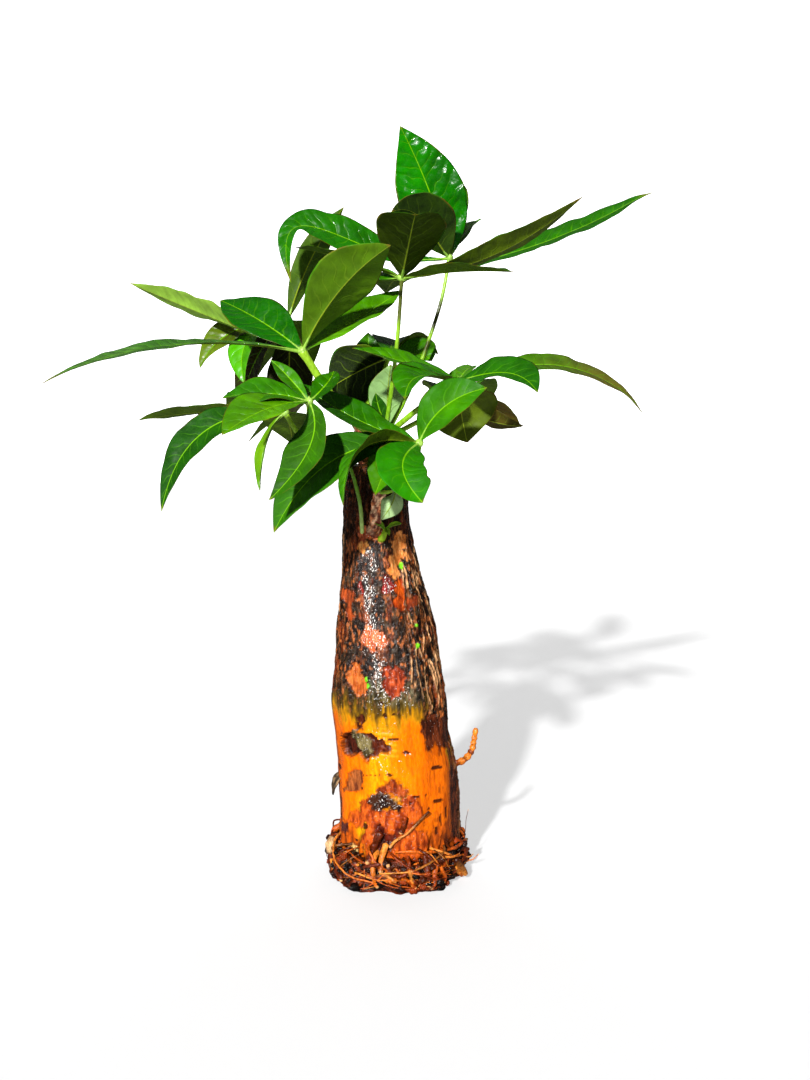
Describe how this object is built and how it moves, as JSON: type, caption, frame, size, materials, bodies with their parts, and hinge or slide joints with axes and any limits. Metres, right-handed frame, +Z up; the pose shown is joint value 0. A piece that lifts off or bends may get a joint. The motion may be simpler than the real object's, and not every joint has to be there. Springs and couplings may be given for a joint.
{
  "type": "bare-root money tree",
  "caption": "Young money tree lifted out of its pot: swollen bark-covered trunk with its roots in a flat-bottomed clod of soil, shoots at the top and palmate leaves on long stalks.",
  "frame": {"origin": "middle of the soil clod's flat underside, on which the plant stands", "axes": "+Z up along the trunk, -Y towards the front of the plant, +X to the right seen from the front"},
  "size_m": [0.2818, 0.2241, 0.3744],
  "materials": {
    "bark": "gloss",
    "soil": "matte",
    "old_shoot": "satin",
    "green_stem": "satin",
    "leaf": "gloss"
  },
  "bodies": {
    "root": {"trunk": "bark", "soil": "soil", "shoot_front": "old_shoot", "shoot_back": "old_shoot", "shoot_left": "green_stem", "shoot_top": "green_stem", "leaf_a": "leaf", "leaf_b": "leaf", "leaf_c": "leaf", "leaf_d": "leaf", "leaf_e": "leaf", "leaf_g": "leaf", "leaf_i": "leaf", "leaf_j": "leaf", "leaf_l": "leaf", "leaf_m": "leaf", "leaf_n": "leaf", "leaf_o": "leaf", "leaf_p": "leaf"}
  },
  "joints": []
}
